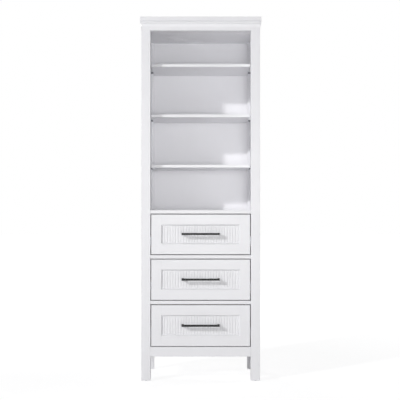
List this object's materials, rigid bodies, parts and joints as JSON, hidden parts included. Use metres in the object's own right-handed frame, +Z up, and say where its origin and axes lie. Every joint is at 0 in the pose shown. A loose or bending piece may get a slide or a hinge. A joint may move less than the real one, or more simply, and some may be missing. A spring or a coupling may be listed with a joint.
{
  "type": "bathroom storage tower",
  "caption": "Tall white cabinet on legs with an open bay of adjustable shelves above inset drawers that have reeded fronts, dark bar pulls and full-extension slides.",
  "frame": {"origin": "on the floor, at the middle of the overall width and depth, handles included", "axes": "+Z up, the front faces -Y, +X to the right seen from the front"},
  "size_m": [0.61, 0.4014, 1.829],
  "materials": {
    "white_paint": "satin white paint",
    "black_metal": "matte black powder coat",
    "black_plastic": "matte",
    "zinc_steel": "zinc plated",
    "birch": "clear lacquer"
  },
  "bodies": {
    "carcass": {"top_cap": "white_paint", "cap_moulding": "white_paint", "cap_battens": "white_paint", "cap_screws": "zinc_steel", "post_front_left": "white_paint", "post_front_right": "white_paint", "post_rear_left": "white_paint", "post_rear_right": "white_paint", "top_rail": "white_paint", "deck_rail": "white_paint", "drawer_rail_upper": "white_paint", "drawer_rail_lower": "white_paint", "bottom_rail": "white_paint", "side_rails_left": "white_paint", "side_rails_right": "white_paint", "side_panels_left": "white_paint", "side_panels_right": "white_paint", "liner_left": "white_paint", "liner_right": "white_paint", "back_rails": "white_paint", "back_panel": "white_paint", "top_panel": "white_paint", "deck_panel": "white_paint", "bottom_panel": "white_paint", "shelf_1": "white_paint", "shelf_2": "white_paint", "shelf_3": "white_paint", "shelf_pins": "zinc_steel", "foot_glides": "black_plastic", "slide_packings": "birch", "slides_outer": "zinc_steel", "slide_screws": "zinc_steel"},
    "drawer_1": {"drawer_1_frame": "white_paint", "drawer_1_panel": "white_paint", "drawer_1_sides": "birch", "drawer_1_ends": "birch", "drawer_1_bottom": "birch", "drawer_1_runners": "zinc_steel", "drawer_1_handle": "black_metal", "drawer_1_screws": "zinc_steel"},
    "drawer_2": {"drawer_2_frame": "white_paint", "drawer_2_panel": "white_paint", "drawer_2_sides": "birch", "drawer_2_ends": "birch", "drawer_2_bottom": "birch", "drawer_2_runners": "zinc_steel", "drawer_2_handle": "black_metal", "drawer_2_screws": "zinc_steel"},
    "drawer_3": {"drawer_3_frame": "white_paint", "drawer_3_panel": "white_paint", "drawer_3_sides": "birch", "drawer_3_ends": "birch", "drawer_3_bottom": "birch", "drawer_3_runners": "zinc_steel", "drawer_3_handle": "black_metal", "drawer_3_screws": "zinc_steel"},
    "slide_middle_1": {"slide_middle_1": "zinc_steel"},
    "slide_middle_2": {"slide_middle_2": "zinc_steel"},
    "slide_middle_3": {"slide_middle_3": "zinc_steel"}
  },
  "joints": [
    {"name": "drawer_1_slide", "type": "slide", "parent": "carcass", "child": "drawer_1", "axis": [0, -1, 0], "range_m": [0, 0.29]},
    {"name": "slide_middle_1_slide", "type": "slide", "parent": "carcass", "child": "slide_middle_1", "axis": [0, -1, 0], "range_m": [0, 0.145]},
    {"name": "drawer_2_slide", "type": "slide", "parent": "carcass", "child": "drawer_2", "axis": [0, -1, 0], "range_m": [0, 0.29]},
    {"name": "slide_middle_2_slide", "type": "slide", "parent": "carcass", "child": "slide_middle_2", "axis": [0, -1, 0], "range_m": [0, 0.145]},
    {"name": "drawer_3_slide", "type": "slide", "parent": "carcass", "child": "drawer_3", "axis": [0, -1, 0], "range_m": [0, 0.29]},
    {"name": "slide_middle_3_slide", "type": "slide", "parent": "carcass", "child": "slide_middle_3", "axis": [0, -1, 0], "range_m": [0, 0.145]}
  ],
  "couplings": [
    {"joint": "slide_middle_1_slide", "follows": "drawer_1_slide", "ratio": 0.5},
    {"joint": "slide_middle_2_slide", "follows": "drawer_2_slide", "ratio": 0.5},
    {"joint": "slide_middle_3_slide", "follows": "drawer_3_slide", "ratio": 0.5}
  ]
}
